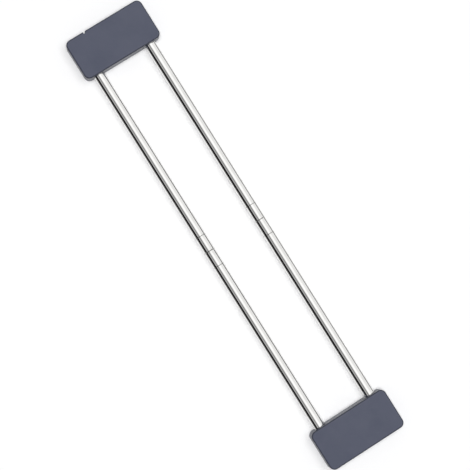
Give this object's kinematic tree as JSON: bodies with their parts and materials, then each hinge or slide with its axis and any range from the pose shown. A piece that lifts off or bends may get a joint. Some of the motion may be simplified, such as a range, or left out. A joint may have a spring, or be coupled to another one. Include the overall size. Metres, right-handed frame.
{
  "type": "window security bar",
  "caption": "Telescopic window security bar: parallel round steel bars between screw-down end blocks with push-on covers; the blocks pull apart to suit the window.",
  "frame": {"origin": "midway between the end blocks, on the plane of their mounting faces", "axes": "+X along the bars to the upper block (the one whose cover has the release slot), +Z away from the wall, +Y to the left bar"},
  "size_m": [0.87, 0.151, 0.0335],
  "materials": {
    "cover_plastic": "slate grey moulded plastic with a fine satin texture",
    "polished_steel": "mirror-polished stainless steel",
    "rod_steel": "ground round bar with fine circular marks",
    "cast_aluminium": "die-cast, as cast",
    "clamp_steel": "pressed, zinc plated",
    "screw_steel": "zinc plated",
    "nylon": "natural nylon",
    "plug_plastic": "moulded black plastic",
    "clip_steel": "blackened spring steel"
  },
  "bodies": {
    "upper_end": {"upper_base": "cast_aluminium", "upper_clamp_left": "clamp_steel", "upper_clamp_right": "clamp_steel", "upper_clamp_screws": "screw_steel", "upper_tube_left": "polished_steel", "upper_tube_right": "polished_steel", "upper_collar_left": "polished_steel", "upper_collar_right": "polished_steel", "upper_bush_left": "nylon", "upper_bush_right": "nylon", "upper_plug_left": "plug_plastic", "upper_plug_right": "plug_plastic"},
    "lower_end": {"lower_base": "cast_aluminium", "lower_clamp_left": "clamp_steel", "lower_clamp_right": "clamp_steel", "lower_clamp_screws": "screw_steel", "lower_tube_left": "polished_steel", "lower_tube_right": "polished_steel", "lower_collar_left": "polished_steel", "lower_collar_right": "polished_steel", "lower_bush_left": "nylon", "lower_bush_right": "nylon", "lower_plug_left": "plug_plastic", "lower_plug_right": "plug_plastic"},
    "upper_cover": {"upper_cover": "cover_plastic"},
    "lower_cover": {"lower_cover": "cover_plastic"},
    "left_glides": {"rod_glides_left": "nylon", "rod_clips_left": "clip_steel"},
    "right_glides": {"rod_glides_right": "nylon", "rod_clips_right": "clip_steel"},
    "left_rod": {"rod_left": "rod_steel"},
    "right_rod": {"rod_right": "rod_steel"}
  },
  "joints": [
    {"name": "extend", "type": "slide", "parent": "upper_end", "child": "lower_end", "axis": [-1, 0, 0], "range_m": [0, 0.48]},
    {"name": "left_rod_slide", "type": "slide", "parent": "upper_end", "child": "left_glides", "axis": [-1, 0, 0], "range_m": [0, 0.24]},
    {"name": "left_rod_spin", "type": "hinge", "parent": "left_glides", "child": "left_rod", "pos_m": [0, 0.05175, 0.0155], "axis": [1, 0, 0], "continuous": true},
    {"name": "right_rod_slide", "type": "slide", "parent": "upper_end", "child": "right_glides", "axis": [-1, 0, 0], "range_m": [0, 0.24]},
    {"name": "right_rod_spin", "type": "hinge", "parent": "right_glides", "child": "right_rod", "pos_m": [0, -0.05175, 0.0155], "axis": [1, 0, 0], "continuous": true},
    {"name": "upper_cover_lift", "type": "slide", "parent": "upper_end", "child": "upper_cover", "axis": [0, 0, 1], "range_m": [0, 0.06]},
    {"name": "lower_cover_lift", "type": "slide", "parent": "lower_end", "child": "lower_cover", "axis": [0, 0, 1], "range_m": [0, 0.06]}
  ],
  "couplings": [
    {"joint": "left_rod_slide", "follows": "extend", "ratio": 0.5},
    {"joint": "right_rod_slide", "follows": "extend", "ratio": 0.5}
  ]
}
